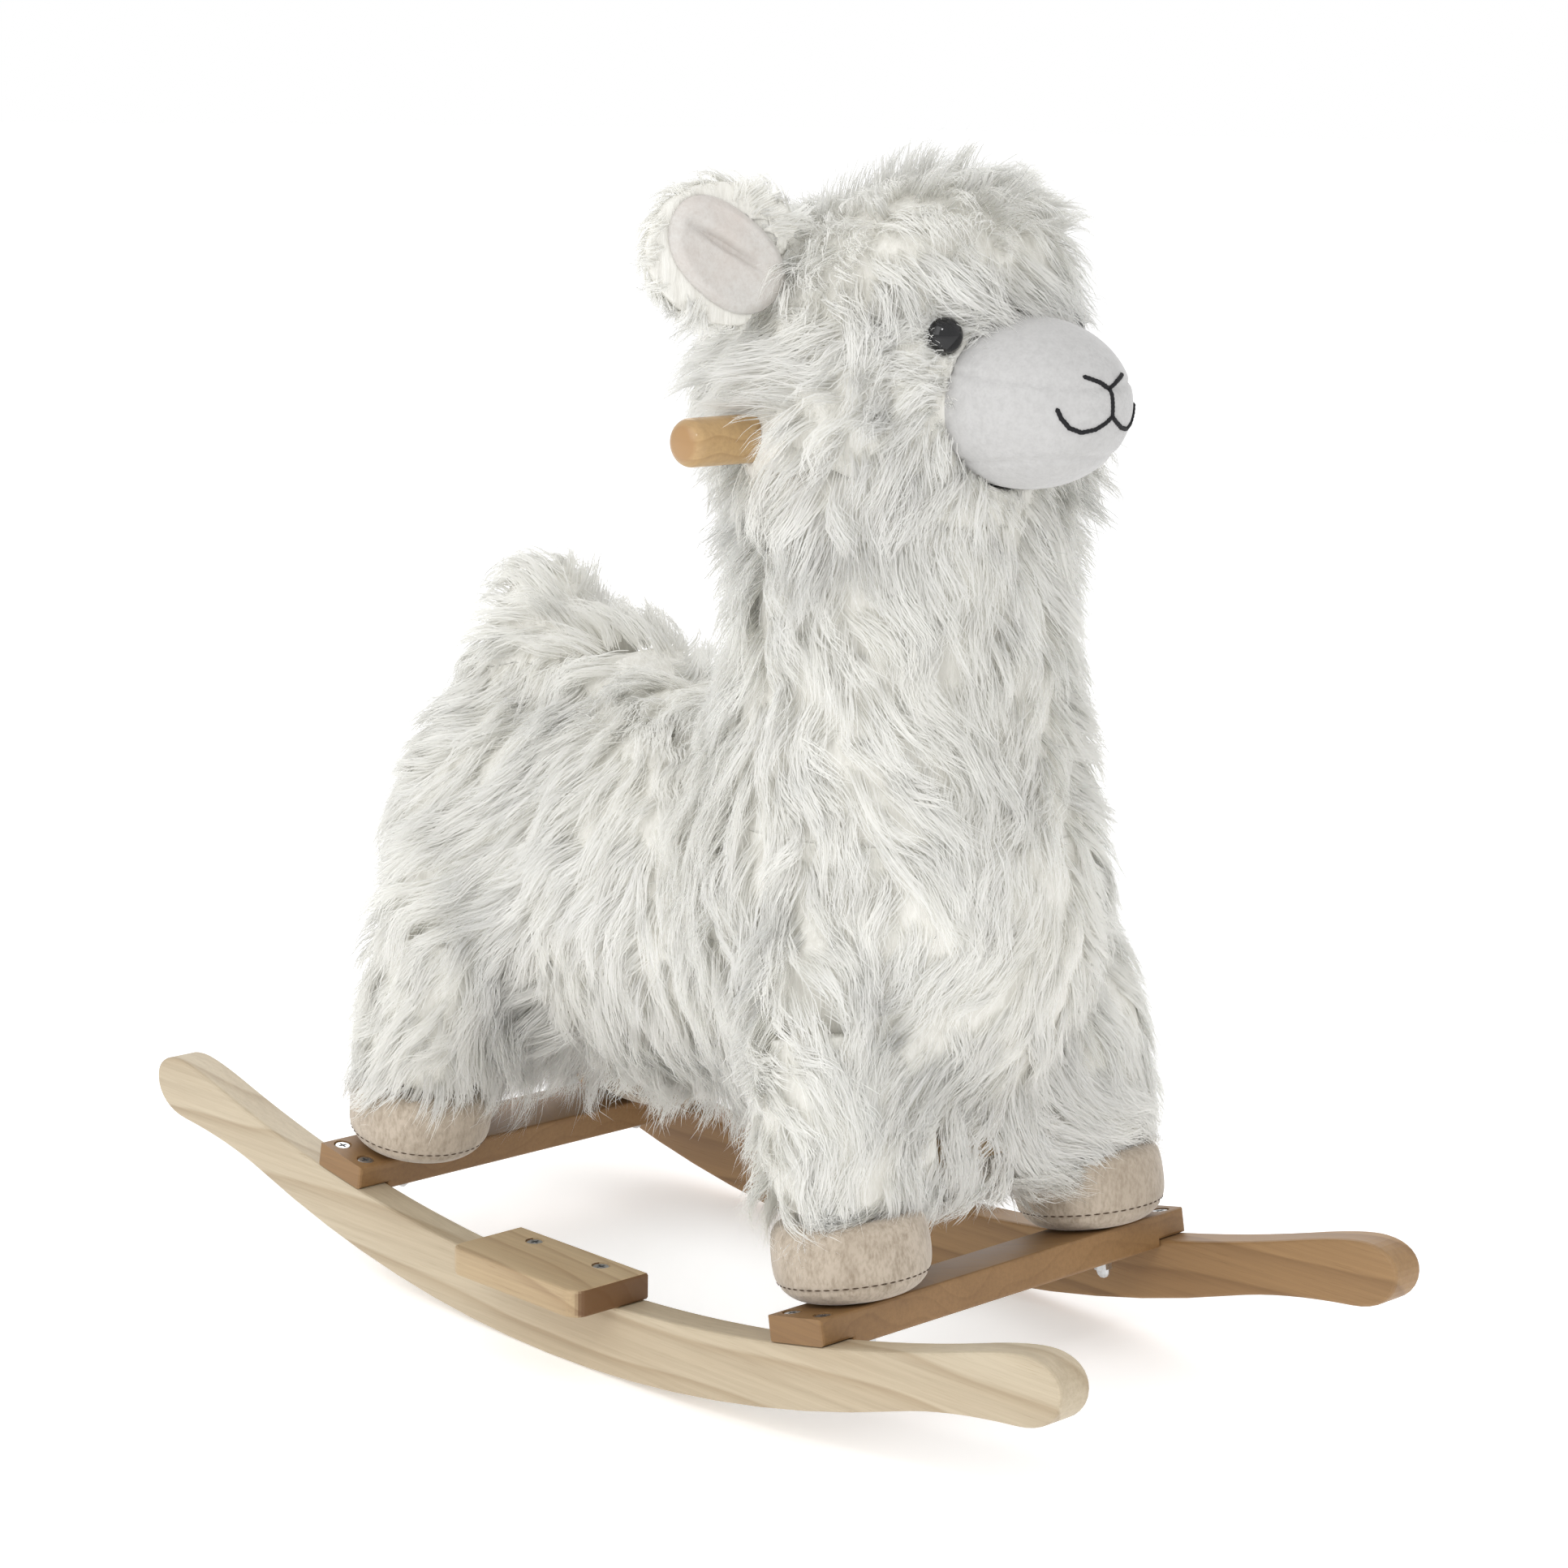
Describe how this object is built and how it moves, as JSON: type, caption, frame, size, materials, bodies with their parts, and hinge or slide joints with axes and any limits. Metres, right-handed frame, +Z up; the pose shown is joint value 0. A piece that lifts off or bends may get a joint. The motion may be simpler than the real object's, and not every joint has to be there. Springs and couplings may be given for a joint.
{
  "type": "rocking alpaca",
  "caption": "Plush long-haired alpaca ride-on toy on curved wooden rockers, with wooden footrests, crossbars and a dowel handle through the head.",
  "frame": {"origin": "on the floor, under the middle of the toy's bounding box", "axes": "+X forward towards the animal's head, +Y to the animal's left, +Z up"},
  "size_m": [0.736, 0.3394, 0.635],
  "materials": {
    "rocker_wood": "clear matt lacquer over pale wood",
    "crossbar_wood": "clear matt lacquer over brown wood",
    "frame_wood": "raw sawn wood",
    "handle_wood": "satin lacquer",
    "steel": "zinc plated",
    "long_fur": "long shaggy pile",
    "face_plush": "short velvety pile",
    "hoof_plush": "short velvety pile",
    "eye_black": "polished",
    "washer_white": "moulded"
  },
  "bodies": {
    "root": {"right_rocker": "rocker_wood", "right_footrest": "rocker_wood", "right_footrest_screw_a": "steel", "right_footrest_screw_b": "steel", "left_rocker": "rocker_wood", "left_footrest": "rocker_wood", "left_footrest_screw_a": "steel", "left_footrest_screw_b": "steel", "front_crossbar": "crossbar_wood", "front_right_bar_screw_a": "steel", "front_right_bar_screw_b": "steel", "front_right_leg_bolt": "steel", "front_right_cap_nut": "steel", "front_right_leg_post": "frame_wood", "front_right_leg": "long_fur", "front_right_hoof": "hoof_plush", "front_left_bar_screw_a": "steel", "front_left_bar_screw_b": "steel", "front_left_leg_bolt": "steel", "front_left_cap_nut": "steel", "front_left_leg_post": "frame_wood", "front_left_leg": "long_fur", "front_left_hoof": "hoof_plush", "front_frame_rail": "frame_wood", "rear_crossbar": "crossbar_wood", "rear_right_bar_screw_a": "steel", "rear_right_bar_screw_b": "steel", "rear_right_leg_bolt": "steel", "rear_right_cap_nut": "steel", "rear_right_leg_post": "frame_wood", "rear_right_leg": "long_fur", "rear_right_hoof": "hoof_plush", "rear_left_bar_screw_a": "steel", "rear_left_bar_screw_b": "steel", "rear_left_leg_bolt": "steel", "rear_left_cap_nut": "steel", "rear_left_leg_post": "frame_wood", "rear_left_leg": "long_fur", "rear_left_hoof": "hoof_plush", "rear_frame_rail": "frame_wood", "seat_board": "frame_wood", "neck_post": "frame_wood", "handle": "handle_wood", "torso": "long_fur", "tail": "long_fur", "neck": "long_fur", "head": "long_fur", "muzzle": "face_plush", "right_ear": "long_fur", "right_ear_lining": "face_plush", "right_eye": "eye_black", "right_eye_washer": "washer_white", "left_ear": "long_fur", "left_ear_lining": "face_plush", "left_eye": "eye_black", "left_eye_washer": "washer_white"}
  },
  "joints": []
}
